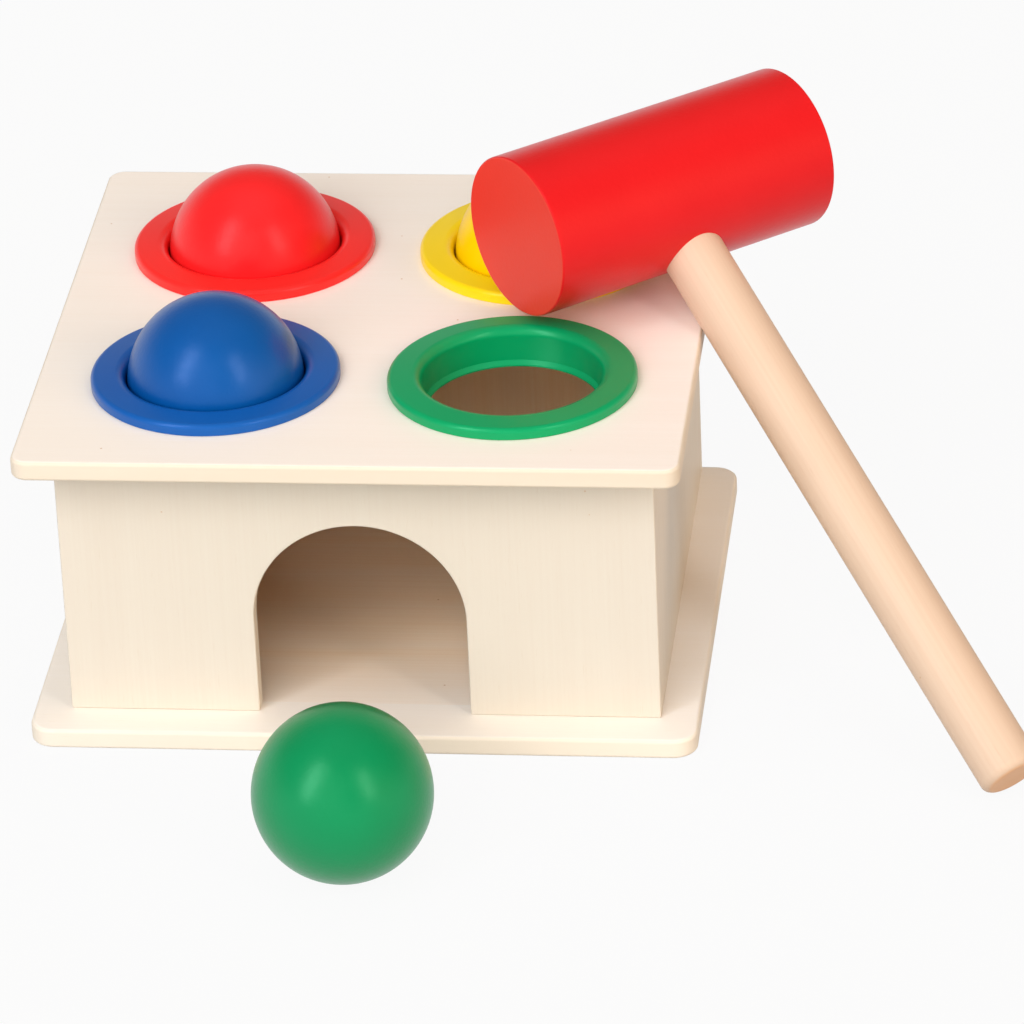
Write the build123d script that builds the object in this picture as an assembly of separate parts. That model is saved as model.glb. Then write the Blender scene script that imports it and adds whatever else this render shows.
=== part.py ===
from build123d import *
import os
from math import asin, atan2, cos, degrees, hypot, radians, sin, sqrt

# Ball pounding bench: a wooden box on a base board, with four collared holes in its top board,
# a wooden ball for each hole, and a mallet that knocks the balls down into the box.
# Millimetres, +Z up, +Y towards the back. The origin is the middle of the base board's underside.

# Clearances
rest_gap = 0.3              # between a loose piece and what it lies on
fit_gap = 0.05              # on the radius, a pin or screw in its hole
end_gap = 0.5               # between a pin's end and the bottom of its hole
overrun = 1.0               # how far a cutting shape runs past the wood

# Balls
ball_diameter = 51.0
loose_ball_distance = 64.3  # from the base board's front edge to the loose ball's centre
loose_ball_offset = 4.0     # to the right of the middle

# Collars: a flange on the board, a bore with a rounded mouth, a sleeve down through the board
bore_clearance = 0.5        # on the radius, ball in the collar
flange_width = 10.0
flange_height = 4.2
flange_fall = 0.8           # the flange's top is this much lower at its outer edge
flange_round = 1.5          # on its outer edge
mouth_round = 2.8           # from the flange's top into the bore
sleeve_wall = 1.6
seat_depth = 6.1            # from the board's face down to the grip ring
foot_depth = 8.0            # from the board's face down to the collar's foot
hole_clearance = 0.1        # on the radius, collar sleeve in the board

# Grip rings: the soft lip in each collar's foot that holds the ball until it is struck
grip_bite = 0.7             # how far the lip reaches in under the ball, on the radius
grip_fall = 1.2             # the lip's top slopes down this much towards its hole
grip_round = 0.3

# Spacing of the four collars, and of the box around them
flange_gap_x = 14.0
flange_gap_y = 12.0
collar_side_gap = 9.4       # from a collar's sleeve to the side panel
collar_end_gap = 0.4        # from a collar's sleeve to the front or back panel

# Boards
board_thickness = 6.0
panel_thickness = 6.0
panel_height = 85.0
top_overhang_side = 9.0
top_overhang_end = 19.0
base_overhang_side = 11.0
base_overhang_front = 13.0
base_overhang_back = 2.0
top_corner_radius = 5.0
base_corner_radius = 7.0
board_edge_round = 1.1
panel_edge_round = 0.6

# Doorway in the front panel
door_side_clearance = 5.25  # ball to jamb
door_head_clearance = 10.5  # ball to the crown of the arch

# Hidden pins and screws
pin_diameter = 3.0
pin_depth_shallow = 3.5     # into a board's or panel's face
pin_depth_deep = 10.0       # into a panel's edge
pin_edge_distance = 18.0    # from a panel's top or bottom
top_pin_end_distance = 10.0 # from the box's side to the outer pins under the top board
pin_bevel = 0.4
screw_diameter = 2.5
screw_head_diameter = 5.2
screw_head_height = 1.5
screw_length = 18.0
screw_tip = 3.0
screw_sink = 0.3            # how far the head lies below the wood's face
screw_slot_width = 0.9
screw_slot_length = 3.2
screw_slot_depth = 0.9

# Mallet, lying over the right edge of the top board with its handle's end on the table
head_diameter = 48.0
head_length = 96.5
head_edge_round = 0.5
handle_diameter = 18.5
handle_length = 215.0
handle_inset = 7.2          # how far the handle's inner end lies past the head's axis
handle_offset = 0.6         # from the middle of the head's length
handle_end_round = 2.6
handle_inner_bevel = 0.8
mallet_turn = 39.9          # degrees, the head's axis from +X towards the back
mallet_rim_lift = 2.3       # from the collars' tops up to the head's underside

# A round takes at most this share of the wall that it is on
round_wall_share = 0.45

# Worked out from the values above: the collars
ball_radius = ball_diameter / 2
bore_radius = ball_radius + bore_clearance
flange_radius = bore_radius + flange_width
sleeve_radius = bore_radius + sleeve_wall
grip_radius = ball_radius - grip_bite
half_pitch_x = flange_radius + flange_gap_x / 2
half_pitch_y = flange_radius + flange_gap_y / 2

# The boards
box_width = 2 * (half_pitch_x + sleeve_radius + collar_side_gap + panel_thickness)
box_depth = 2 * (half_pitch_y + sleeve_radius + collar_end_gap + panel_thickness)
top_width = box_width + 2 * top_overhang_side
top_depth = box_depth + 2 * top_overhang_end
base_width = box_width + 2 * base_overhang_side
base_depth = box_depth + base_overhang_front + base_overhang_back
base_front = -base_depth / 2
box_front = base_front + base_overhang_front
box_back = box_front + box_depth
box_middle = (box_front + box_back) / 2
panel_top = board_thickness + panel_height
top_face = panel_top + board_thickness
door_width = ball_diameter + 2 * door_side_clearance
door_height = ball_diameter + door_head_clearance

# The seated balls: each rests on the rim of its grip ring
lip_depth = seat_depth + grip_fall
seated_height = top_face - lip_depth + sqrt((ball_radius + rest_gap) ** 2 - grip_radius ** 2)

# Middle of each hole
holes = {
    "blue": (-half_pitch_x, box_middle - half_pitch_y),
    "green": (half_pitch_x, box_middle - half_pitch_y),
    "red": (-half_pitch_x, box_middle + half_pitch_y),
    "yellow": (half_pitch_x, box_middle + half_pitch_y),
}


def limited(radius, wall):
    """The radius, or as much of it as the wall allows."""
    return min(radius, wall * round_wall_share)


def turned(corners, rounds):
    """A solid turned about Z from (radius, height) corners, each with its rounding radius."""
    outline = FilletPolyline(*corners, radius=rounds, close=True)
    return revolve(make_face(Plane.XZ * outline), Axis.Z)


def outline_board(width, depth, corner_radius):
    """A flat board on Z = 0 with rounded corners and rounded top and bottom edges."""
    board = extrude(RectangleRounded(width, depth, corner_radius), board_thickness)
    levels = board.edges().group_by(Axis.Z)
    return fillet(levels[0] + levels[-1], limited(board_edge_round, board_thickness))


def panel(width, depth, x, y):
    """An upright panel that stands on the base board."""
    return Pos(x, y, board_thickness + panel_height / 2) * Box(width, depth, panel_height)


def end_panel(y):
    """The front or back panel, with a small round on the box's two upright edges there."""
    block = panel(box_width, panel_thickness, 0, y)
    upright = block.edges().filter_by(Axis.Z).group_by(Axis.Y)
    outer_edges = upright[0] if y < box_middle else upright[-1]
    return fillet(outer_edges, limited(panel_edge_round, panel_thickness))


def pin(length):
    """A round wooden pin along Z, centred, with bevelled ends."""
    body = Cylinder(pin_diameter / 2, length)
    return chamfer(body.edges().filter_by(GeomType.CIRCLE), limited(pin_bevel, pin_diameter / 2))


def pin_hole(length):
    """The hole for such a pin: wider by the fit and deeper at both ends."""
    return Cylinder(pin_diameter / 2 + fit_gap, length + 2 * end_gap)


def screw_form(grow):
    """A countersunk screw that points up from Z = 0, thicker all round by grow."""
    head = screw_head_diameter / 2 + grow
    shank = screw_diameter / 2 + grow
    corners = [
        (0, 0),
        (head, 0),
        (shank, screw_head_height),
        (shank, screw_length - screw_tip),
        (0, screw_length + grow),
    ]
    return revolve(make_face(Plane.XZ * Polyline(*corners, close=True)), Axis.Z)


def screw_hole():
    """The hole for such a screw, with a straight mouth that the head is sunk through."""
    mouth_radius = screw_head_diameter / 2 + fit_gap
    mouth_top = (Align.CENTER, Align.CENTER, Align.MAX)
    return screw_form(fit_gap) + Cylinder(mouth_radius, screw_sink + overrun, align=mouth_top)


# Where the hidden pins and screws stand
pin_length = pin_depth_shallow + pin_depth_deep
side_panel_x = box_width / 2 - panel_thickness / 2
side_panel_depth = box_depth - 2 * panel_thickness
front_panel_y = box_front + panel_thickness / 2
back_panel_y = box_back - panel_thickness / 2
pin_heights = (board_thickness + pin_edge_distance, panel_top - pin_edge_distance)
pin_shift = (pin_depth_deep - pin_depth_shallow) / 2

corner_pin_y = side_panel_depth / 2 - pin_shift
corner_pin_places = []
for x in (-side_panel_x, side_panel_x):
    for y in (box_middle - corner_pin_y, box_middle + corner_pin_y):
        corner_pin_places += [Pos(x, y, height) * Rot(90, 0, 0) for height in pin_heights]

top_pin_height = panel_top - pin_shift
top_pin_x = box_width / 2 - top_pin_end_distance
top_pin_places = [Pos(x, box_middle, top_pin_height) for x in (-side_panel_x, side_panel_x)]
for y in (front_panel_y, back_panel_y):
    top_pin_places += [Pos(x, y, top_pin_height) for x in (-top_pin_x, 0, top_pin_x)]

jamb_middle = (door_width + box_width) / 4
screw_places = [Pos(x, front_panel_y, screw_sink) for x in (-jamb_middle, jamb_middle)]
screw_places += [Pos(x, back_panel_y, screw_sink) for x in (-half_pitch_x, 0, half_pitch_x)]
screw_places += [Pos(x, box_middle, screw_sink) for x in (-side_panel_x, side_panel_x)]


def drilled(wood):
    """The wood with every pin hole and screw hole that reaches it."""
    for place in corner_pin_places + top_pin_places:
        wood = wood - place * pin_hole(pin_length)
    for place in screw_places:
        wood = wood - place * screw_hole()
    return wood


def make_front_panel():
    """The front panel with its round-topped doorway, open at the base board."""
    straight = door_height - door_width / 2
    jambs = Pos(0, (straight - overrun) / 2) * Rectangle(door_width, straight + overrun)
    opening = jambs + Pos(0, straight) * Circle(door_width / 2)
    tunnel = extrude(Plane.XZ * opening, panel_thickness / 2 + overrun, both=True)
    return drilled(end_panel(front_panel_y) - Pos(0, front_panel_y, board_thickness) * tunnel)


def make_top_board():
    """The top board with a hole for each collar's sleeve."""
    board = Pos(0, box_middle, panel_top) * outline_board(top_width, top_depth, top_corner_radius)
    for x, y in holes.values():
        cutter = Cylinder(sleeve_radius + hole_clearance, board_thickness + 2 * overrun)
        board = board - Pos(x, y, panel_top + board_thickness / 2) * cutter
    return drilled(board)


def make_collar(x, y):
    """A turned plastic collar: a flange that falls outwards, a bore with a rounded mouth, a sleeve."""
    corners = [
        (bore_radius, -foot_depth),
        (sleeve_radius, -foot_depth),
        (sleeve_radius, 0),
        (flange_radius, 0),
        (flange_radius, flange_height - flange_fall),
        (bore_radius, flange_height),
    ]
    outer = limited(flange_round, flange_height)
    rounds = [0, 0, 0, 0, outer, limited(mouth_round, flange_width)]
    return Pos(x, y, top_face) * turned(corners, rounds)


def make_grip_ring(x, y):
    """The soft lip: its top slopes down to a hole a little smaller than the ball."""
    outer = bore_radius - fit_gap
    corners = [
        (grip_radius, -foot_depth),
        (outer, -foot_depth),
        (outer, -seat_depth),
        (grip_radius, -lip_depth),
    ]
    soft = limited(grip_round, foot_depth - lip_depth)
    return Pos(x, y, top_face) * turned(corners, [soft, 0, 0, soft])


# The mallet's place: the head is level and lies against the yellow ball, the handle crosses the
# top board's right edge and its end is on the table
head_radius = head_diameter / 2
handle_radius = handle_diameter / 2
handle_reach = handle_length - handle_inset
head_height = top_face + flange_height + mallet_rim_lift + head_radius
turn = radians(mallet_turn)
end_slope = asin((head_height - rest_gap) / hypot(handle_reach, handle_radius))
slope = end_slope - atan2(handle_radius, handle_reach)
head_direction = Vector(cos(turn), sin(turn), 0)
handle_direction = Vector(sin(turn) * cos(slope), -cos(turn) * cos(slope), -sin(slope))
beside_ball = sqrt((head_radius + ball_radius + rest_gap) ** 2 - (head_height - seated_height) ** 2)
edge_round = limited(board_edge_round, board_thickness)
edge_drop = head_height - top_face + edge_round
over_edge = (handle_radius + rest_gap + edge_round) * hypot(handle_direction.X, handle_direction.Z)
past_edge = (over_edge - handle_direction.X * edge_drop) / -handle_direction.Z
handle_top_x = top_width / 2 - edge_round + past_edge
nearest_x = holes["yellow"][0] + sin(turn) * beside_ball
nearest_y = holes["yellow"][1] - cos(turn) * beside_ball
along_head = (handle_top_x - nearest_x) / cos(turn)
handle_top = Vector(handle_top_x, nearest_y + sin(turn) * along_head, head_height)
head_middle = handle_top - head_direction * handle_offset
head_plane = Plane(origin=head_middle, x_dir=handle_direction, z_dir=head_direction)
handle_plane = Plane(origin=handle_top, x_dir=head_direction, z_dir=handle_direction)


def make_mallet_head():
    """A turned wooden cylinder with a blind hole for the handle."""
    block = Cylinder(head_radius, head_length)
    block = fillet(block.edges().filter_by(GeomType.CIRCLE), limited(head_edge_round, head_radius))
    depth = handle_inset + end_gap + head_radius + overrun
    socket = Cylinder(handle_radius + fit_gap, depth, align=(Align.CENTER, Align.CENTER, Align.MIN))
    return head_plane * block - handle_plane * Pos(0, 0, -handle_inset - end_gap) * socket


def make_mallet_handle():
    """A round rod from inside the head to its rounded free end."""
    rod = Cylinder(handle_radius, handle_length, align=(Align.CENTER, Align.CENTER, Align.MIN))
    ends = rod.edges().filter_by(GeomType.CIRCLE).sort_by(Axis.Z)
    rod = fillet(ends[-1], limited(handle_end_round, handle_radius))
    inner = rod.edges().filter_by(GeomType.CIRCLE).sort_by(Axis.Z)[0]
    rod = chamfer(inner, limited(handle_inner_bevel, handle_radius))
    return handle_plane * Pos(0, 0, -handle_inset) * rod


def make_screws():
    """The countersunk screws under the base board, each with a cross recess."""
    cross = Box(screw_slot_length, screw_slot_width, 2 * screw_slot_depth)
    cross += Box(screw_slot_width, screw_slot_length, 2 * screw_slot_depth)
    screw = screw_form(0) - cross
    return [place * screw for place in screw_places]


pieces = {
    "base_board": drilled(outline_board(base_width, base_depth, base_corner_radius)),
    "front_panel": make_front_panel(),
    "back_panel": drilled(end_panel(back_panel_y)),
    "left_panel": drilled(panel(panel_thickness, side_panel_depth, -side_panel_x, box_middle)),
    "right_panel": drilled(panel(panel_thickness, side_panel_depth, side_panel_x, box_middle)),
    "top_board": make_top_board(),
    "corner_pins": Compound([place * pin(pin_length) for place in corner_pin_places]),
    "top_pins": Compound([place * pin(pin_length) for place in top_pin_places]),
    "base_screws": Compound(make_screws()),
    "mallet_head": make_mallet_head(),
    "mallet_handle": make_mallet_handle(),
}
for colour, (x, y) in holes.items():
    pieces[colour + "_collar"] = make_collar(x, y)
    pieces[colour + "_grip_ring"] = make_grip_ring(x, y)
    pieces[colour + "_ball"] = Pos(x, y, seated_height) * Sphere(ball_radius)

# The green ball has been knocked through and lies on the table in front of the doorway
loose_ball_y = base_front - loose_ball_distance
pieces["green_ball"] = Pos(loose_ball_offset, loose_ball_y, ball_radius) * Sphere(ball_radius)

os.makedirs("parts", exist_ok=True)
for name, piece in pieces.items():
    export_step(piece, "parts/" + name + ".step")
print("A seated ball can drop", seated_height - ball_radius - board_thickness, "onto the base board")
print("The handle slopes", degrees(slope), "degrees and the head's middle is at", tuple(head_middle))
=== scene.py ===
import math

import bpy
import numpy as np
from mathutils import Matrix, Vector
from mathutils.geometry import delaunay_2d_cdt


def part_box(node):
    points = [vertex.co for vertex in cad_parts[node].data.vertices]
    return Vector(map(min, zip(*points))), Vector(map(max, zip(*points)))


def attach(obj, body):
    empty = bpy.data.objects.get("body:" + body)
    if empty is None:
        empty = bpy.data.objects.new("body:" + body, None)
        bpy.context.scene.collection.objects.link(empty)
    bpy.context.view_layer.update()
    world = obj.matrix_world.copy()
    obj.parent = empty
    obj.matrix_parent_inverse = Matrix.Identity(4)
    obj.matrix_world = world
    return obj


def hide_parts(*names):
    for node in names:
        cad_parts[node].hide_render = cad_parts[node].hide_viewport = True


# Ball pounding bench: the looks of a wooden box with four collared holes, painted balls and a mallet.
# Sizes are in millimetres until a mesh is made, which is in metres like the frame.

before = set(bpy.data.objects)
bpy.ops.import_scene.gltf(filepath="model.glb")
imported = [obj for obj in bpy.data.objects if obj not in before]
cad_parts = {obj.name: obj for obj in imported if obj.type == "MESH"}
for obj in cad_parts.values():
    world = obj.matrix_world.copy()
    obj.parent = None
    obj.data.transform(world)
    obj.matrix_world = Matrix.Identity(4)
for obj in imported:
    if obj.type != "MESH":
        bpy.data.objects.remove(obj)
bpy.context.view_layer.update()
MM = 0.001

# Sizes that the frame's boxes don't give
BORE_CLEARANCE = 0.5
FLANGE_HEIGHT = 4.2
FLANGE_FALL = 0.8
FLANGE_ROUND = 1.5
MOUTH_ROUND = 2.8
FLANGE_FOOT_ROUND = 0.3
SLEEVE_WALL = 1.6
SLEEVE_FOOT_ROUND = 0.2
SEAT_DEPTH = 6.1
FOOT_DEPTH = 8.0
HOLE_CLEARANCE = 0.1
GRIP_FALL = 1.2
GRIP_BITE = 0.7
GRIP_ROUND = 0.3
GRIP_FOOT_ROUND = 0.05
FIT_GAP = 0.05
REST_GAP = 0.3
TOP_CORNER_RADIUS = 5.0
BASE_CORNER_RADIUS = 7.0
BOARD_EDGE_ROUND = 1.1
PANEL_ARRIS = 0.5
ARRIS_SEGMENTS = 3
ARRIS_ANGLE = math.radians(50)
DOOR_WIDTH = 61.5
DOOR_HEIGHT = 61.5
SCREW_HEAD_RADIUS = 2.6
SCREW_RECESS = 1.0
HEAD_DIAMETER = 48.0
HEAD_LENGTH = 96.5
HEAD_RIM_ROUND = 0.6
HANDLE_DIAMETER = 18.5
HANDLE_LENGTH = 215.0
HANDLE_INSET = 7.2
HANDLE_OFFSET = 0.6
HANDLE_END_ROUND = 2.6
HANDLE_INNER_BEVEL = 0.8
MALLET_TURN = math.radians(39.9)

# How finely the curves are drawn: steps over an arc, and sides round an axis
CORNER_STEPS = 16
EDGE_STEPS = 6
DOORWAY_STEPS = 64
POLE_TO_POLE_STEPS = 96
LARGE_ROUND_STEPS = 10
SMALL_ROUND_STEPS = 6
HOLE_SIDES = 96
BALL_SIDES = 192
COLLAR_SIDES = 192
HEAD_SIDES = 256
HANDLE_SIDES = 160
POLE_ANGLE = 0.002
SAME_POINT = 1e-7

COLOURS = ("blue", "green", "red", "yellow")


def corners_mm(node):
    """A CAD node's lowest and highest corner, in millimetres."""
    low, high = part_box(node)
    return np.array(low) / MM, np.array(high) / MM


# Shapes: each is worked out as whole arrays with numpy

def rounded_path(corners, radii, steps):
    """Corner points joined by straight runs, each corner cut by an arc of its own radius.

    The arc's centre lies on the corner's bisector at radius / sin(half angle), and the arc touches
    both runs at radius / tan(half angle) from the corner. The path is open: its ends aren't rounded.
    """
    points = np.array(corners, float)
    path = [points[:1]]
    for before, corner, after, radius in zip(points, points[1:], points[2:], radii):
        to_before = (before - corner) / np.linalg.norm(before - corner)
        to_after = (after - corner) / np.linalg.norm(after - corner)
        if radius == 0:
            path.append(corner[None])
            continue
        half = np.arccos(np.clip(to_before @ to_after, -1, 1)) / 2
        bisector = (to_before + to_after) / np.linalg.norm(to_before + to_after)
        centre = corner + bisector * radius / np.sin(half)
        start = corner + to_before * radius / np.tan(half) - centre
        side = corner + to_after * radius / np.tan(half) - centre
        sweep = np.pi - 2 * half
        share = np.linspace(0, 1, steps + 1)[:, None]
        arc = (np.sin((1 - share) * sweep) * start + np.sin(share * sweep) * side) / np.sin(sweep)
        path.append(centre + arc)
    path.append(points[-1:])
    return np.concatenate(path)


def link(piece):
    """Puts an object in the scene."""
    bpy.context.scene.collection.objects.link(piece)
    return piece


def skin(name, points, faces):
    """An object from points in millimetres, (n, 3), and faces, a list of index arrays.

    The faces with four corners follow curves and are shaded smooth. All the others are flat.
    """
    mesh = bpy.data.meshes.new(name)
    metres = (np.asarray(points) * MM).tolist()
    mesh.from_pydata(metres, [], [face for block in faces for face in block.tolist()])
    corner_counts = np.concatenate([np.full(len(block), block.shape[1]) for block in faces])
    mesh.polygons.foreach_set("use_smooth", corner_counts == 4)
    return link(bpy.data.objects.new(name, mesh))


def wall(upper, lower, count):
    """Quads between two closed rings of count points that run counter-clockwise, facing outwards.

    upper and lower are the rings' first indexes: quad j joins points j and j + 1 of both.
    """
    here = np.arange(count)
    after = (here + 1) % count
    return np.stack((lower + here, lower + after, upper + after, upper + here), -1)


def turned(name, profile, sides, place, closed=False):
    """A surface of revolution about Z.

    Point (i, j) lies at radius profile[i, 0] and height profile[i, 1], at angle 2 pi j / sides. A closed
    profile joins its last point to its first, and an open one ends in a pole on the axis at both ends.
    place, a 4 x 4 matrix in millimetres, puts the result where it belongs.
    """
    profile = np.asarray(profile, float)
    if not closed:
        profile = profile[profile[:, 0] > 0]
    angle = np.linspace(0, 2 * np.pi, sides, endpoint=False)
    x = profile[:, :1] * np.cos(angle)
    y = profile[:, :1] * np.sin(angle)
    z = np.broadcast_to(profile[:, 1:], x.shape)
    points = np.stack((x, y, z), -1).reshape(-1, 3)
    count = len(profile)
    firsts = np.arange(count) * sides
    faces = [wall(above, below, sides) for below, above in zip(firsts, firsts[1:])]
    if closed:
        faces.append(wall(firsts[0], firsts[-1], sides))
    else:
        poles = [[0, 0, profile[0, 1]], [0, 0, profile[-1, 1]]]
        points = np.concatenate((points, poles))
        here = np.arange(sides)
        after = (here + 1) % sides
        bottom = np.stack((after, here, np.full(sides, count * sides)), -1)
        top = np.stack((here, after, np.full(sides, count * sides + 1)), -1)
        top[:, :2] += firsts[-1]
        faces += [bottom, top]
    return skin(name, points @ place[:3, :3].T + place[:3, 3], faces)


def finish_edges(piece, width=0.0):
    """Rounds the sharp edges by width, in millimetres, and keeps flat faces flat in the shading."""
    if width:
        bevel = piece.modifiers.new("arris", "BEVEL")
        bevel.width = width * MM
        bevel.segments = ARRIS_SEGMENTS
        bevel.limit_method = "ANGLE"
        bevel.angle_limit = ARRIS_ANGLE
    normals = piece.modifiers.new("flat faces", "WEIGHTED_NORMAL")
    normals.keep_sharp = True


def between_rings(rings, first_indexes):
    """Triangles over a flat face, inside the first ring and outside the others.

    They are the constrained Delaunay triangles of all the rings' points. Those with all three corners
    on one hole's ring fill that hole, and are left out.
    """
    owner = np.repeat(np.arange(len(rings)), [len(ring) for ring in rings])
    index = np.concatenate([first + np.arange(len(ring)) for ring, first in zip(rings, first_indexes)])
    starts = np.cumsum([0] + [len(ring) for ring in rings[:-1]])
    edges = [
        np.stack((start + np.arange(len(ring)), start + np.roll(np.arange(len(ring)), -1)), -1)
        for ring, start in zip(rings, starts)
    ]
    flat = np.concatenate(rings)[:, :2]
    _, _, made, merged, _, _ = delaunay_2d_cdt(
        list(map(Vector, flat)), np.concatenate(edges).tolist(), [], 0, SAME_POINT)
    source = np.array([originals[0] for originals in merged])
    triangles = source[np.array(made)]
    belongs = owner[triangles]
    fills_hole = (belongs[:, 0] > 0) & np.all(belongs == belongs[:, :1], axis=1)
    return index[triangles[~fills_hole]]


def board(name, node, corner_radius, holes):
    """A flat board with rounded corners and edges, and round holes from below.

    Each corner is a quarter circle round its own centre. Over the edge, at angle phi from the face, the
    outline lies round * (1 - sin phi) inside the board's and round * (1 - cos phi) from the face.
    holes holds each hole's (x, y, radius, top), where a top below the board's face makes it blind.
    """
    low, high = corners_mm(node)
    sweep = np.pi / 2 * (np.arange(4)[:, None] + np.linspace(0, 1, CORNER_STEPS + 1))
    normals = np.stack((np.cos(sweep), np.sin(sweep)), -1)
    toward = np.sign(normals[:, CORNER_STEPS // 2, None])
    centres = toward * ((high - low)[:2] / 2 - corner_radius) + ((low + high) / 2)[:2]
    phi = np.linspace(0, np.pi / 2, EDGE_STEPS + 1)
    reach = corner_radius - BOARD_EDGE_ROUND * (1 - np.sin(phi))
    drop = BOARD_EDGE_ROUND * (1 - np.cos(phi))
    reach = np.concatenate((reach, reach[::-1]))[:, None, None, None]
    height = np.concatenate((high[2] - drop, low[2] + drop[::-1]))[:, None, None]
    edge = (centres + normals * reach).reshape(len(height), -1, 2)
    rings = list(np.concatenate((edge, np.broadcast_to(height, edge.shape[:2] + (1,))), -1))
    count = edge.shape[1]
    firsts = [level * count for level in range(len(rings))]
    faces = [wall(upper, lower, count) for upper, lower in zip(firsts, firsts[1:])]
    open_above, open_below = [0], [len(rings) - 1]
    angle = np.linspace(0, 2 * np.pi, HOLE_SIDES, endpoint=False)
    circle = np.stack((np.cos(angle), np.sin(angle), np.zeros(HOLE_SIDES)), -1)
    for x, y, radius, top in holes:
        foot = (x, y, low[2]) + radius * circle
        head = foot + (0, 0, top - low[2])
        start = firsts[-1] + len(rings[-1])
        faces.append(wall(start, start + HOLE_SIDES, HOLE_SIDES))
        if top < high[2]:
            faces.append(start + HOLE_SIDES + np.arange(HOLE_SIDES)[None, ::-1])
        else:
            open_above.append(len(rings) + 1)
        open_below.append(len(rings))
        rings += [foot, head]
        firsts += [start, start + HOLE_SIDES]
    faces.append(between_rings([rings[i] for i in open_above], [firsts[i] for i in open_above]))
    faces.append(between_rings([rings[i] for i in open_below], [firsts[i] for i in open_below])[:, ::-1])
    return skin(name, np.concatenate(rings), faces)


def panel(name, outline, near, thickness):
    """An upright panel: an outline carried through its thickness, with softened edges.

    outline is (x, z) for a panel that faces the front, or (y, z) for one that faces right, and runs
    counter-clockwise seen from there. near is the y or x of that face.
    """
    faces_front = thickness > 0
    far = near + thickness
    along, up = outline.T
    pair = [np.full(len(outline), near), np.full(len(outline), far)]
    rings = [np.stack((along, depth, up) if faces_front else (depth, along, up), -1) for depth in pair]
    count = len(outline)
    faces = [wall(0, count, count), np.arange(count)[None], count + np.arange(count)[None, ::-1]]
    piece = skin(name, np.concatenate(rings), faces)
    finish_edges(piece, PANEL_ARRIS)
    return piece


# Materials

# Patterns in millimetres: the patches' lengths, along and across the grain for wood, and the relief's depth
FIBRES = (70, 0.9)
BANDS = (240, 14)
PORES = (6, 0.4)
FIBRE_RELIEF = 0.03
KNOT_SPACING = 13.0
KNOT_CORE = 0.18
KNOT_RIM = 0.4
CLOUDS = (22, 22, 22)
PEBBLES = (1.1, 1.1, 1.1)
PEBBLE_RELIEF = 0.05
FLOW = (30, 30, 6)
GRIT = (0.8, 0.8, 0.8)
GRIT_RELIEF = 0.006
SPANGLE = (1.2, 1.2, 1.2)

KNOT_COLOUR = "#C99F6B"
# Painted shade for the inside of the box: a warmer, darker wood tone, and its grain
INSIDE_SHADE_TONE = "#FDE4C6"
INSIDE_SHADE_GRAIN = "#F2CFA6"

# Painted shade inside the box: within the walls the wood takes a warmer, darker tone, which fades in
# from the first of these distances before the front panel's back to full at the second behind it.
# The overlap takes in the walls' own faces.
INSIDE_SHADE_START = 10.0
INSIDE_SHADE_FULL = 30.0
INSIDE_OVERLAP = 0.4
INSIDE_LOW = np.array([
    corners_mm("left_panel")[1][0], corners_mm("front_panel")[1][1], corners_mm("base_board")[1][2]])
INSIDE_HIGH = np.array([
    corners_mm("right_panel")[0][0], corners_mm("back_panel")[0][1], corners_mm("top_board")[0][2]])

# Over a rounded edge one colour gives way to another between these cosines of the angle to the axis
FACE_EDGE = 0.8
FACE_FULL = 0.98

# How far a coat's sheen goes from white to the coat's own hue
SHEEN_TINT = 0.6
PLASTIC_SHINE = 0.7
PLASTIC_ROUGHNESS = 0.29
LIP_ROUGHNESS = 0.34


def linear(hex_colour):
    """An sRGB hex colour as the linear RGBA that a shader socket takes."""
    values = [int(hex_colour[i:i + 2], 16) / 255 for i in (1, 3, 5)]
    return [v / 12.92 if v <= 0.04045 else ((v + 0.055) / 1.055) ** 2.4 for v in values] + [1.0]


def material(name):
    """A new material, with its node tree and its Principled shader."""
    made = bpy.data.materials.new(name)
    made.use_nodes = True
    return made, made.node_tree, made.node_tree.nodes["Principled BSDF"]


def add(tree, kind, settings=None, inputs=None):
    """Adds a node. An input is a number, a colour in hex, or another node's output to link."""
    node = tree.nodes.new(kind)
    for key, value in (settings or {}).items():
        setattr(node, key, value)
    for key, value in (inputs or {}).items():
        if isinstance(value, bpy.types.NodeSocket):
            tree.links.new(value, node.inputs[key])
        else:
            node.inputs[key].default_value = linear(value) if isinstance(value, str) else value
    return node.outputs


def mottle(tree, lengths, detail, turn=(0, 0, 0), shift=(0, 0, 0)):
    """An uneven pattern, 0 to 1, whose patches are as long in each direction as lengths, in mm."""
    source = add(tree, "ShaderNodeTexCoord")["Object"]
    where = add(tree, "ShaderNodeMapping", {"vector_type": "TEXTURE"}, {
        "Vector": source, "Location": [v * MM for v in shift], "Rotation": turn,
        "Scale": [v * MM for v in lengths]})[0]
    return add(tree, "ShaderNodeTexNoise", {}, {"Vector": where, "Scale": 1.0, "Detail": detail,
                                                "Roughness": 0.55})[0]


def over_faces(tree, colour, face_colour, axis):
    """The colour, with another one over the faces that look along an axis or against it."""
    facing = add(tree, "ShaderNodeTexCoord")["Normal"]
    along = add(tree, "ShaderNodeVectorMath", {"operation": "DOT_PRODUCT"}, {0: facing, 1: axis})["Value"]
    size = add(tree, "ShaderNodeMath", {"operation": "ABSOLUTE"}, {0: along})[0]
    share = add(tree, "ShaderNodeMapRange", {}, {
        "Value": size, "From Min": FACE_EDGE, "From Max": FACE_FULL, "To Min": 0.0, "To Max": 1.0})[0]
    return add(tree, "ShaderNodeMix", {"data_type": "RGBA"}, {0: share, 6: colour, 7: face_colour})[2]


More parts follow.
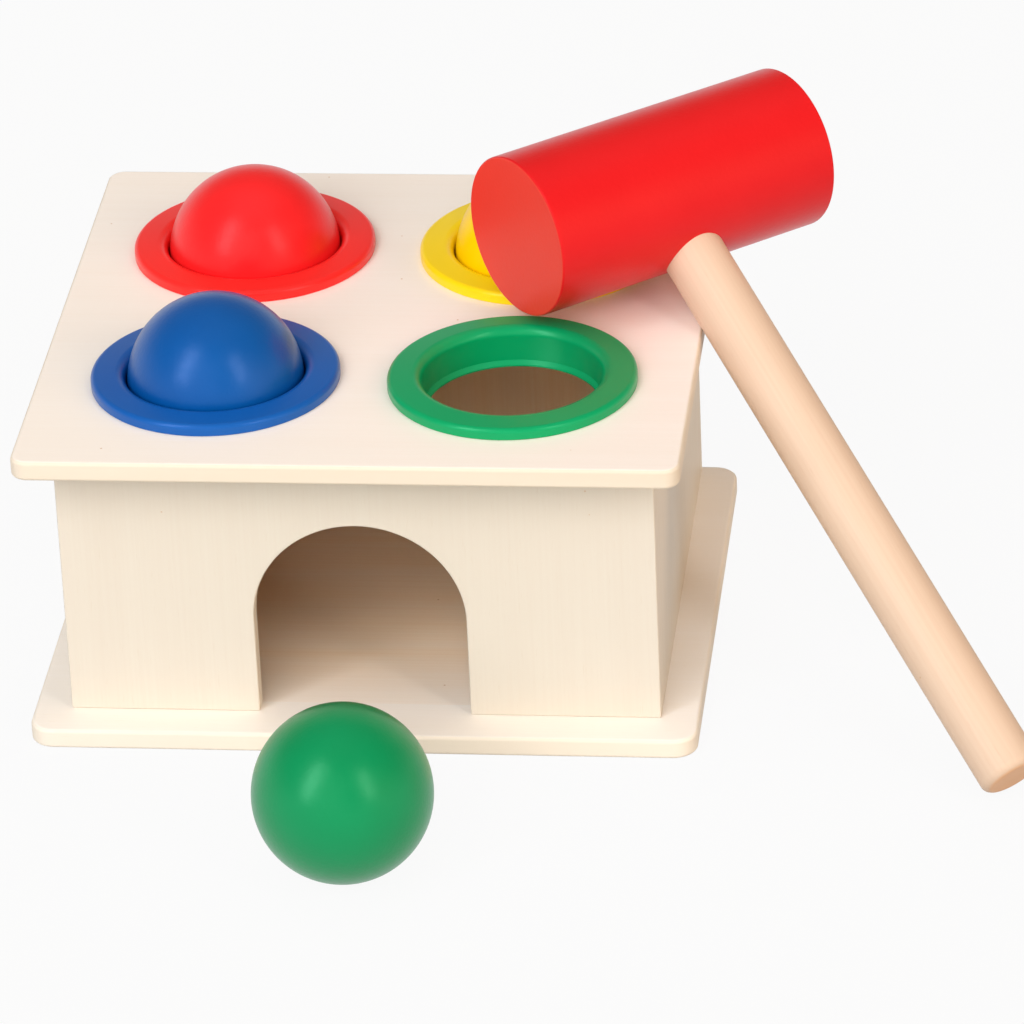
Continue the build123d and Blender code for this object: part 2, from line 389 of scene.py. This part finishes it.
def with_painted_inside_shade(tree, colour, fibres):
    """The colour, with painted shade: a warmer, darker tone by degrees from the doorway into the box.

    It is painted within the walls, and stands in for the dim, warm light deep inside the box.
    """
    place = add(tree, "ShaderNodeTexCoord")["Object"]
    middle = (INSIDE_LOW + INSIDE_HIGH) / 2 * MM
    half = (INSIDE_HIGH - INSIDE_LOW + INSIDE_OVERLAP * 2) / 2 * MM
    offset = add(tree, "ShaderNodeVectorMath", {"operation": "SUBTRACT"}, {0: place, 1: middle})[0]
    reach = add(tree, "ShaderNodeVectorMath", {"operation": "ABSOLUTE"}, {0: offset})[0]
    beyond = add(tree, "ShaderNodeVectorMath", {"operation": "SUBTRACT"}, {0: reach, 1: half})[0]
    x, y, z = add(tree, "ShaderNodeSeparateXYZ", {}, {0: beyond})
    most = add(tree, "ShaderNodeMath", {"operation": "MAXIMUM"}, {0: x, 1: y})[0]
    most = add(tree, "ShaderNodeMath", {"operation": "MAXIMUM"}, {0: most, 1: z})[0]
    within = add(tree, "ShaderNodeMath", {"operation": "LESS_THAN"}, {0: most, 1: 0.0})[0]
    depth = add(tree, "ShaderNodeSeparateXYZ", {}, {0: place})[1]
    fading = add(tree, "ShaderNodeMapRange", {}, {
        "Value": depth, "From Min": (INSIDE_LOW[1] - INSIDE_SHADE_START) * MM,
        "From Max": (INSIDE_LOW[1] + INSIDE_SHADE_FULL) * MM})[0]
    share = add(tree, "ShaderNodeMath", {"operation": "MULTIPLY"}, {0: within, 1: fading})[0]
    shade_tone = add(tree, "ShaderNodeMix", {"data_type": "RGBA"}, {0: fibres, 6: INSIDE_SHADE_TONE, 7: INSIDE_SHADE_GRAIN})[2]
    return add(tree, "ShaderNodeMix", {"data_type": "RGBA"}, {0: share, 6: colour, 7: shade_tone})[2]


def sanded_wood(name, grain, light, dark, pore, turn=(0, 0, 0), shift=(0, 0, 0),
                shaded_inside=False, edge=None, end=None):
    """Close-grained pale wood, planed, sanded and sealed: even cream with a matt, silky surface.

    The eye gets fine long fibres, faint broad bands, short pores and now and then a pin knot. grain is
    the axis, 0 to 2, that the fibres follow. Real pores are under 0.1 mm and are drawn coarser.
    shaded_inside wood is given painted shade where it faces the inside of the box: a warmer, darker
    tone. edge is the colour of a flat board's planed edges, darker than its faces: partly their own
    tone, partly painted shade. end holds the colour of end grain and the axis that it looks along.
    """
    made, tree, shader = material(name)

    def stretched(along, across):
        return [along if axis == grain else across for axis in range(3)]

    fibres = mottle(tree, stretched(*FIBRES), 4.0, turn, shift)
    bands = mottle(tree, stretched(*BANDS), 2.0, turn, shift)
    pores = mottle(tree, stretched(*PORES), 2.0, turn, shift)
    fibre_share = add(tree, "ShaderNodeMapRange", {}, {
        "Value": fibres, "From Min": 0.32, "From Max": 0.75, "To Min": 0.0, "To Max": 0.4})[0]
    band_share = add(tree, "ShaderNodeMapRange", {}, {
        "Value": bands, "From Min": 0.35, "From Max": 0.75, "To Min": 0.0, "To Max": 0.35})[0]
    pore_share = add(tree, "ShaderNodeMapRange", {}, {
        "Value": pores, "From Min": 0.64, "From Max": 0.8, "To Min": 0.0, "To Max": 0.3})[0]
    ground = add(tree, "ShaderNodeMix", {"data_type": "RGBA"}, {0: fibre_share, 6: light, 7: dark})[2]
    if end is not None:
        ground = over_faces(tree, ground, *end)
    # Partly painted shade: a flat board's edges take a darker tone than its top and bottom faces
    if edge is not None:
        ground = over_faces(tree, edge, ground, (0, 0, 1))
    # Painted shade: a warmer, darker tone over the wood inside the box
    if shaded_inside:
        ground = with_painted_inside_shade(tree, ground, fibres)
    banded = add(tree, "ShaderNodeMix", {"data_type": "RGBA"}, {0: band_share, 6: ground, 7: dark})[2]
    flecked = add(tree, "ShaderNodeMix", {"data_type": "RGBA"}, {0: pore_share, 6: banded, 7: pore})[2]
    source = add(tree, "ShaderNodeTexCoord")["Object"]
    cells = add(tree, "ShaderNodeTexVoronoi", {}, {"Vector": source, "Scale": 1 / (KNOT_SPACING * MM)})
    knot_share = add(tree, "ShaderNodeMapRange", {}, {
        "Value": cells["Distance"], "From Min": KNOT_CORE / KNOT_SPACING,
        "From Max": KNOT_RIM / KNOT_SPACING, "To Min": 0.75, "To Max": 0.0})[0]
    colour = add(tree, "ShaderNodeMix", {"data_type": "RGBA"}, {
        0: knot_share, 6: flecked, 7: KNOT_COLOUR})[2]
    gloss = add(tree, "ShaderNodeMapRange", {}, {
        "Value": fibres, "From Min": 0.3, "From Max": 0.75, "To Min": 0.46, "To Max": 0.58})[0]
    relief = add(tree, "ShaderNodeBump", {}, {
        "Height": fibres, "Strength": 0.5, "Distance": FIBRE_RELIEF * MM})[0]
    tree.links.new(colour, shader.inputs["Base Color"])
    tree.links.new(gloss, shader.inputs["Roughness"])
    tree.links.new(relief, shader.inputs["Normal"])
    shader.inputs["Specular IOR Level"].default_value = 0.3
    return made


def own_sheen(colour):
    """White drawn most of the way to a coat's own hue: a coloured skin throws back a coloured sheen."""
    values = np.array(linear(colour)[:3])
    return tuple(1 - (1 - values / values.max()) * SHEEN_TINT) + (1.0,)


def enamel(name, colour, deep, shine, end=None):
    """Enamel dipped on turned wood: deep even colour, a satin gloss and a finely pebbled skin.

    end holds the colour over end grain, which drinks the paint and leaves it thinner, and the axis that
    the end grain looks along. The roughness stays over 0.28: shinier paint rendered with dark dots.
    """
    made, tree, shader = material(name)
    cloud = mottle(tree, CLOUDS, 2.0)
    pebble = mottle(tree, PEBBLES, 2.0)
    shade = add(tree, "ShaderNodeMix", {"data_type": "RGBA"}, {0: cloud, 6: colour, 7: deep})[2]
    if end is not None:
        shade = over_faces(tree, shade, *end)
    gloss = add(tree, "ShaderNodeMapRange", {}, {
        "Value": pebble, "From Min": 0.3, "From Max": 0.7, "To Min": 0.29, "To Max": 0.34})[0]
    relief = add(tree, "ShaderNodeBump", {}, {
        "Height": pebble, "Strength": 0.8, "Distance": PEBBLE_RELIEF * MM})[0]
    tree.links.new(shade, shader.inputs["Base Color"])
    tree.links.new(gloss, shader.inputs["Roughness"])
    tree.links.new(relief, shader.inputs["Normal"])
    shader.inputs["Specular IOR Level"].default_value = shine
    shader.inputs["Specular Tint"].default_value = own_sheen(colour)
    return made


def moulded_plastic(name, colour, deep, rough):
    """Polypropylene from the mould: even colour, a smooth soft shine and a trace of flow."""
    made, tree, shader = material(name)
    flow = mottle(tree, FLOW, 2.0)
    grit = mottle(tree, GRIT, 2.0)
    shade = add(tree, "ShaderNodeMix", {"data_type": "RGBA"}, {0: flow, 6: colour, 7: deep})[2]
    gloss = add(tree, "ShaderNodeMapRange", {}, {
        "Value": grit, "From Min": 0.3, "From Max": 0.7, "To Min": rough, "To Max": rough + 0.02})[0]
    relief = add(tree, "ShaderNodeBump", {}, {
        "Height": grit, "Strength": 0.2, "Distance": GRIT_RELIEF * MM})[0]
    tree.links.new(shade, shader.inputs["Base Color"])
    tree.links.new(gloss, shader.inputs["Roughness"])
    tree.links.new(relief, shader.inputs["Normal"])
    shader.inputs["Specular IOR Level"].default_value = PLASTIC_SHINE
    shader.inputs["Specular Tint"].default_value = own_sheen(colour)
    return made


def plated_steel(name):
    """Zinc-plated steel: pale grey metal, dull and faintly mottled from the bath."""
    made, tree, shader = material(name)
    bath = mottle(tree, SPANGLE, 3.0)
    shade = add(tree, "ShaderNodeMix", {"data_type": "RGBA"}, {0: bath, 6: "#C9CACB", 7: "#A9AAA8"})[2]
    gloss = add(tree, "ShaderNodeMapRange", {}, {
        "Value": bath, "From Min": 0.3, "From Max": 0.7, "To Min": 0.28, "To Max": 0.42})[0]
    tree.links.new(shade, shader.inputs["Base Color"])
    tree.links.new(gloss, shader.inputs["Roughness"])
    shader.inputs["Metallic"].default_value = 1.0
    return made


def dress(piece, finish):
    """Gives a piece or a CAD node one material."""
    piece.data.materials.clear()
    piece.data.materials.append(finish)


def stands_for(piece, node, body, finish):
    """Puts a piece in a CAD node's place: gives it its finish and the body it rides on, and hides the node.
    """
    dress(piece, finish)
    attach(piece, body)
    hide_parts(node)


# The boards' edge colours are darker than their faces: partly the planed edges' own tone, partly painted
# shade.
BOARD_WOOD = sanded_wood("basswood, grain across", 0, "#FAF1E6", "#F6EADC", "#EEDFCA",
                         shaded_inside=True, edge="#E6D7C1")
BASE_WOOD = sanded_wood("basswood, grain across, second board", 0, "#F9F2E9", "#F5ECDF", "#ECDECA",
                        shift=(31, 17, 5), shaded_inside=True, edge="#F2E6D4")
# Painted shade: the upright panels' basswood is a shade darker than the same wood on the boards
SHADED_PANEL_WOOD = sanded_wood("basswood, grain upright, with painted shade", 2, "#E2D9CA", "#DED2C2", "#D5C5AE", shaded_inside=True)
PAINT = {
    "blue": enamel("blue enamel on wood", "#03559F", "#024D94", 0.7),
    "green": enamel("green enamel on wood", "#008C54", "#00824B", 0.7),
    "red": enamel("red enamel on wood", "#F52628", "#EC1F22", 0.6),
    "yellow": enamel("yellow enamel on wood", "#FFDA00", "#FAD200", 0.35),
}
PLASTIC = {
    colour: moulded_plastic(colour + " moulded plastic", light, deep, PLASTIC_ROUGHNESS)
    for colour, light, deep in (
        ("blue", "#0D5BAC", "#0B54A2"), ("green", "#009E61", "#009659"),
        ("red", "#FD2C28", "#F72724"), ("yellow", "#FEDC0C", "#F8D408"))
}
GRIP = {
    colour: moulded_plastic(colour + " soft lip", light, deep, LIP_ROUGHNESS)
    for colour, light, deep in (
        ("blue", "#105FB0", "#0E58A6"), ("green", "#00A064", "#00985C"),
        ("red", "#FE322E", "#F82D2A"), ("yellow", "#FCDC20", "#F6D41C"))
}

# The box

BALL_RADIUS = (corners_mm("green_ball")[1] - corners_mm("green_ball")[0])[2] / 2
BORE_RADIUS = BALL_RADIUS + BORE_CLEARANCE
TOP_FACE = corners_mm("top_board")[1][2]


def screw_places():
    """The middle of each screw, from the panels' boxes: two in front, three behind, one at each side."""
    box_low, box_high = corners_mm("front_panel")[0], corners_mm("back_panel")[1]
    front_y, back_y = (np.mean(corners_mm(node), axis=0)[1] for node in ("front_panel", "back_panel"))
    left_x, right_x = (np.mean(corners_mm(node), axis=0)[0] for node in ("left_panel", "right_panel"))
    jamb_x = (DOOR_WIDTH + box_high[0] - box_low[0]) / 4
    collar_x = np.mean(corners_mm("green_collar"), axis=0)[0]
    middle_y = (box_low[1] + box_high[1]) / 2
    places = [(x, front_y) for x in (-jamb_x, jamb_x)] + [(x, back_y) for x in (-collar_x, 0, collar_x)]
    return places + [(left_x, middle_y), (right_x, middle_y)]


def make_boards():
    """The top board, open where the collars' sleeves go through, and the base board with its screws."""
    sleeve_radius = BORE_RADIUS + SLEEVE_WALL
    holes = []
    for colour in COLOURS:
        x, y = np.mean(corners_mm(colour + "_collar"), axis=0)[:2]
        holes.append((x, y, sleeve_radius + HOLE_CLEARANCE, TOP_FACE))
    top = board("top_board_of_basswood", "top_board", TOP_CORNER_RADIUS, holes)
    finish_edges(top)
    stands_for(top, "top_board", "bench", BOARD_WOOD)
    recess_top = corners_mm("base_board")[0][2] + SCREW_RECESS
    recesses = [(x, y, SCREW_HEAD_RADIUS + FIT_GAP, recess_top) for x, y in screw_places()]
    base = board("base_board_of_basswood", "base_board", BASE_CORNER_RADIUS, recesses)
    finish_edges(base)
    stands_for(base, "base_board", "bench", BASE_WOOD)


def make_panels():
    """The four walls. The front one's outline goes over the doorway: a half circle on two jambs."""
    low, high = corners_mm("front_panel")
    half = DOOR_WIDTH / 2
    sweep = np.linspace(np.pi, 0, DOORWAY_STEPS + 1)
    arch = np.stack((half * np.cos(sweep), low[2] + DOOR_HEIGHT - half + half * np.sin(sweep)), -1)
    foot = [(low[0], low[2]), (-half, low[2])]
    rest = [(half, low[2]), (high[0], low[2]), (high[0], high[2]), (low[0], high[2])]
    outline = np.concatenate((foot, arch, rest))
    front = panel("front_panel_with_doorway", outline, low[1], high[1] - low[1])
    stands_for(front, "front_panel", "bench", SHADED_PANEL_WOOD)
    for node, axis in (("back_panel", 0), ("left_panel", 1), ("right_panel", 1)):
        low, high = corners_mm(node)
        outline = np.array([
            (low[axis], low[2]), (high[axis], low[2]), (high[axis], high[2]), (low[axis], high[2]),
        ])
        near, thickness = (low[1], high[1] - low[1]) if axis == 0 else (high[0], low[0] - high[0])
        piece = panel(node + "_of_basswood", outline, near, thickness)
        stands_for(piece, node, "bench", SHADED_PANEL_WOOD)


make_boards()
make_panels()
for node_name, finish in (
    ("corner_pins", SHADED_PANEL_WOOD),
    ("top_pins", SHADED_PANEL_WOOD),
    ("base_screws", plated_steel("zinc-plated screws")),
):
    dress(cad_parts[node_name], finish)


# The balls, collars and grip rings

def make_ball(colour):
    """A turned wooden ball: a half circle of radius r, from close to each pole, carried round Z."""
    low, high = corners_mm(colour + "_ball")
    radius = (high[2] - low[2]) / 2
    latitude = np.linspace(-1, 1, POLE_TO_POLE_STEPS + 1) * (np.pi / 2 - POLE_ANGLE)
    profile = np.stack((radius * np.cos(latitude), radius * np.sin(latitude)), -1)
    place = np.eye(4)
    place[:3, 3] = (low + high) / 2
    piece = turned(colour + "_wooden_ball", profile, BALL_SIDES, place)
    stands_for(piece, colour + "_ball", colour + "_ball", PAINT[colour])


def hole_place(node):
    """The middle of a collar's hole, level with the board's face, as a matrix in millimetres."""
    low, high = corners_mm(node)
    place = np.eye(4)
    place[:3, 3] = ((low[0] + high[0]) / 2, (low[1] + high[1]) / 2, TOP_FACE)
    return place


def make_collar(colour):
    """A moulded collar: its section, with rounded flange edges, carried round the hole's axis."""
    node = colour + "_collar"
    low, high = corners_mm(node)
    flange_radius = (high[0] - low[0]) / 2
    sleeve_radius = BORE_RADIUS + SLEEVE_WALL
    corners = [
        (BORE_RADIUS, -SEAT_DEPTH),
        (BORE_RADIUS, -FOOT_DEPTH),
        (sleeve_radius, -FOOT_DEPTH),
        (sleeve_radius, 0),
        (flange_radius, 0),
        (flange_radius, FLANGE_HEIGHT - FLANGE_FALL),
        (BORE_RADIUS, FLANGE_HEIGHT),
        (BORE_RADIUS, -SEAT_DEPTH),
    ]
    radii = [SLEEVE_FOOT_ROUND, SLEEVE_FOOT_ROUND, 0, FLANGE_FOOT_ROUND, FLANGE_ROUND, MOUTH_ROUND]
    section = rounded_path(corners, radii, LARGE_ROUND_STEPS)[:-1]
    piece = turned(colour + "_turned_collar", section, COLLAR_SIDES, hole_place(node), closed=True)
    finish_edges(piece)
    stands_for(piece, node, "bench", PLASTIC[colour])


def make_grip_ring(colour):
    """The soft lip in the collar's foot: a sloped top down to a hole that is smaller than the ball."""
    node = colour + "_grip_ring"
    inner = BALL_RADIUS - GRIP_BITE
    outer = BORE_RADIUS - FIT_GAP
    lip = -SEAT_DEPTH - GRIP_FALL
    middle = (inner + outer) / 2
    corners = [
        (middle, -FOOT_DEPTH),
        (outer, -FOOT_DEPTH),
        (outer, -SEAT_DEPTH),
        (inner, lip),
        (inner, -FOOT_DEPTH),
        (middle, -FOOT_DEPTH),
    ]
    radii = [GRIP_FOOT_ROUND, GRIP_FOOT_ROUND, GRIP_ROUND, GRIP_ROUND]
    section = rounded_path(corners, radii, SMALL_ROUND_STEPS)[:-1]
    piece = turned(colour + "_soft_lip", section, COLLAR_SIDES, hole_place(node), closed=True)
    finish_edges(piece)
    stands_for(piece, node, "bench", GRIP[colour])


for colour_name in COLOURS:
    make_ball(colour_name)
    make_collar(colour_name)
    make_grip_ring(colour_name)


# The mallet. The head's middle comes from the CAD node's box. The handle slopes so that the lower rim
# of its far end lies REST_GAP over the table.

def column_frame(x_axis, z_axis, origin):
    """A 4 x 4 matrix whose Z runs along z_axis and whose X runs along x_axis."""
    place = np.eye(4)
    place[:3, 2] = z_axis
    place[:3, 0] = x_axis
    place[:3, 1] = np.cross(z_axis, x_axis)
    place[:3, 3] = origin
    return place


head_radius = HEAD_DIAMETER / 2
handle_radius = HANDLE_DIAMETER / 2
handle_reach = HANDLE_LENGTH - HANDLE_INSET
head_low, head_high = corners_mm("mallet_head")
head_middle = (head_low + head_high) / 2
end_slope = math.asin((head_middle[2] - REST_GAP) / math.hypot(handle_reach, handle_radius))
slope = end_slope - math.atan2(handle_radius, handle_reach)
along_head = np.array((math.cos(MALLET_TURN), math.sin(MALLET_TURN), 0))
along_handle = np.array((
    math.sin(MALLET_TURN) * math.cos(slope),
    -math.cos(MALLET_TURN) * math.cos(slope),
    -math.sin(slope),
))
handle_top = head_middle + along_head * HANDLE_OFFSET
HEAD_PLACE = column_frame(along_handle, along_head, head_middle)
HANDLE_PLACE = column_frame(along_head, along_handle, handle_top)
HANDLE_TURN = tuple(Matrix(HANDLE_PLACE[:3, :3].tolist()).to_euler())
BEECH = sanded_wood("turned beech", 2, "#E0C4AB", "#D6B599", "#C9A184", HANDLE_TURN,
                    end=("#E6B68C", tuple(along_handle)))
HEAD_PAINT = enamel("red enamel on a turned head", "#E01E21", "#D8181C", 0.35,
                    end=("#EE4031", tuple(along_head)))


def make_mallet_head():
    """A turned cylinder with softened rims."""
    half = HEAD_LENGTH / 2
    corners = [(0, -half), (head_radius, -half), (head_radius, half), (0, half)]
    profile = rounded_path(corners, [HEAD_RIM_ROUND, HEAD_RIM_ROUND], SMALL_ROUND_STEPS)
    piece = turned("painted_mallet_head", profile, HEAD_SIDES, HEAD_PLACE)
    finish_edges(piece)
    stands_for(piece, "mallet_head", "mallet", HEAD_PAINT)


def make_mallet_handle():
    """A rod from the socket in the head to its rounded free end."""
    inner = -HANDLE_INSET
    outer = inner + HANDLE_LENGTH
    bevel = HANDLE_INNER_BEVEL
    corners = [(0, inner), (handle_radius - bevel, inner), (handle_radius, inner + bevel)]
    corners += [(handle_radius, outer), (0, outer)]
    profile = rounded_path(corners, [0, 0, HANDLE_END_ROUND], LARGE_ROUND_STEPS)
    piece = turned("beech_mallet_handle", profile, HANDLE_SIDES, HANDLE_PLACE)
    finish_edges(piece)
    stands_for(piece, "mallet_handle", "mallet", BEECH)


make_mallet_head()
make_mallet_handle()

# Floor, light and camera

FLOOR_REACH = 4000.0
FLOOR_GREY = "#BCBCBC"
WORLD_LEVEL = 0.24
WARM = "#FFEBD2"
AMBER = "#FFD7AA"
NEUTRAL = "#FFFFFF"
COOL = "#EEF5FF"
FLOOR_WHITE_SHARE = 0.93
BACKDROP_LOW = 0.05
BACKDROP_HIGH = 0.45
AIM_HEIGHT = 60.0


def white_behind(tree, shader_output, share):
    """Mixes a white glow of strength 1 into what camera, mirror and glass rays see, by share."""
    path = add(tree, "ShaderNodeLightPath")
    direct = add(tree, "ShaderNodeMath", {"operation": "MAXIMUM"}, {
        0: path["Is Camera Ray"], 1: path["Is Glossy Ray"]})[0]
    seen = add(tree, "ShaderNodeMath", {"operation": "MAXIMUM"}, {
        0: direct, 1: path["Is Transmission Ray"]})[0]
    amount = add(tree, "ShaderNodeMath", {"operation": "MULTIPLY"}, {0: seen, 1: share})[0]
    glow = add(tree, "ShaderNodeEmission", {}, {"Strength": 1.0})[0]
    return add(tree, "ShaderNodeMixShader", {}, {0: amount, 1: shader_output, 2: glow})[0]


def make_floor():
    """A wide flat sheet of white card under the bench, which keeps a soft shadow."""
    corners = np.array([(-1, -1, 0), (1, -1, 0), (1, 1, 0), (-1, 1, 0)]) * FLOOR_REACH
    floor = skin("white_floor", corners, [np.array([[0, 1, 2, 3]])])
    made, tree, shader = material("white card")
    shader.inputs["Base Color"].default_value = linear(FLOOR_GREY)
    shader.inputs["Roughness"].default_value = 0.9
    output = tree.nodes["Material Output"]
    tree.links.new(white_behind(tree, shader.outputs[0], FLOOR_WHITE_SHARE), output.inputs["Surface"])
    dress(floor, made)


def make_world():
    """An even pale surround that fills the shadows.

    Camera and mirror rays see it as a studio's white backdrop: white up to the height of BACKDROP_LOW
    and fading to a dim ceiling at BACKDROP_HIGH, both as the sine of the angle above the horizon.
    """
    world = bpy.data.worlds.new("studio")
    bpy.context.scene.world = world
    world.use_nodes = True
    tree = world.node_tree
    surround = tree.nodes["Background"]
    surround.inputs["Color"].default_value = linear(WARM)
    surround.inputs["Strength"].default_value = WORLD_LEVEL
    direction = add(tree, "ShaderNodeTexCoord")["Generated"]
    height = add(tree, "ShaderNodeSeparateXYZ", {}, {0: direction})[2]
    share = add(tree, "ShaderNodeMapRange", {}, {
        "Value": height, "From Min": BACKDROP_LOW, "From Max": BACKDROP_HIGH,
        "To Min": 1.0, "To Max": 0.0})[0]
    output = tree.nodes["World Output"]
    tree.links.new(white_behind(tree, surround.outputs[0], share), output.inputs["Surface"])


def make_softbox(name, toward, distance, width, height, level, tint, mirrored):
    """A plain rectangular lamp that faces the bench from toward, a direction, at a distance.

    level is the share of white that it gives a white sheet head-on: a small lamp of w watts at distance d
    gives w / (pi * d)^2. Only a mirrored lamp shows in the gloss. The others are fills without an edge.
    """
    lamp = bpy.data.lights.new(name, "AREA")
    lamp.shape = "RECTANGLE"
    lamp.size = width * MM
    lamp.size_y = height * MM
    metres = distance * MM
    lamp.energy = level * (math.pi * metres) ** 2
    lamp.color = linear(tint)[:3]
    holder = link(bpy.data.objects.new(name, lamp))
    holder.visible_glossy = mirrored
    aim = Vector((0, 0, AIM_HEIGHT * MM))
    holder.location = aim + Vector(toward).normalized() * metres
    holder.rotation_euler = (holder.location - aim).to_track_quat("Z", "Y").to_euler()


make_floor()
make_world()
make_softbox("left softbox", (-0.49, -0.60, 0.60), distance=4200.0, width=900.0, height=3400.0,
             level=0.33, tint=COOL, mirrored=True)
make_softbox("right softbox", (0.60, -0.60, 0.56), distance=4200.0, width=600.0, height=2500.0,
             level=0.15, tint=NEUTRAL, mirrored=True)
make_softbox("front softbox", (-0.12, -0.84, 0.50), distance=4600.0, width=3200.0, height=3400.0,
             level=0.70, tint=NEUTRAL, mirrored=False)
make_softbox("side softbox", (0.90, -0.40, 0.35), distance=4600.0, width=2800.0, height=2400.0,
             level=0.28, tint=AMBER, mirrored=False)
make_softbox("overhead softbox", (0.0, 0.05, 1.0), distance=4000.0, width=3600.0, height=3600.0,
             level=0.26, tint=COOL, mirrored=False)

# The camera's place and turn, found from the edges of the boards in the photograph
CAMERA_PLACE = (252.473, -1732.128, 981.902)
CAMERA_PITCH = math.radians(-28.4919)
CAMERA_YAW = math.radians(7.1043)
CAMERA_ROLL = math.radians(-2.5918)
CAMERA_LENS = 235.85
CAMERA_SENSOR = 36.0
camera_data = bpy.data.cameras.new("camera")
camera_data.lens = CAMERA_LENS
camera_data.sensor_width = CAMERA_SENSOR
camera = link(bpy.data.objects.new("camera", camera_data))
camera.location = [v * MM for v in CAMERA_PLACE]
level_camera = Matrix.Rotation(math.pi / 2 + CAMERA_PITCH, 4, "X")
camera.rotation_euler = (
    Matrix.Rotation(CAMERA_YAW, 4, "Z") @ level_camera @ Matrix.Rotation(CAMERA_ROLL, 4, "Z")
).to_euler()
bpy.context.scene.camera = camera
bpy.context.scene.view_settings.view_transform = "Standard"
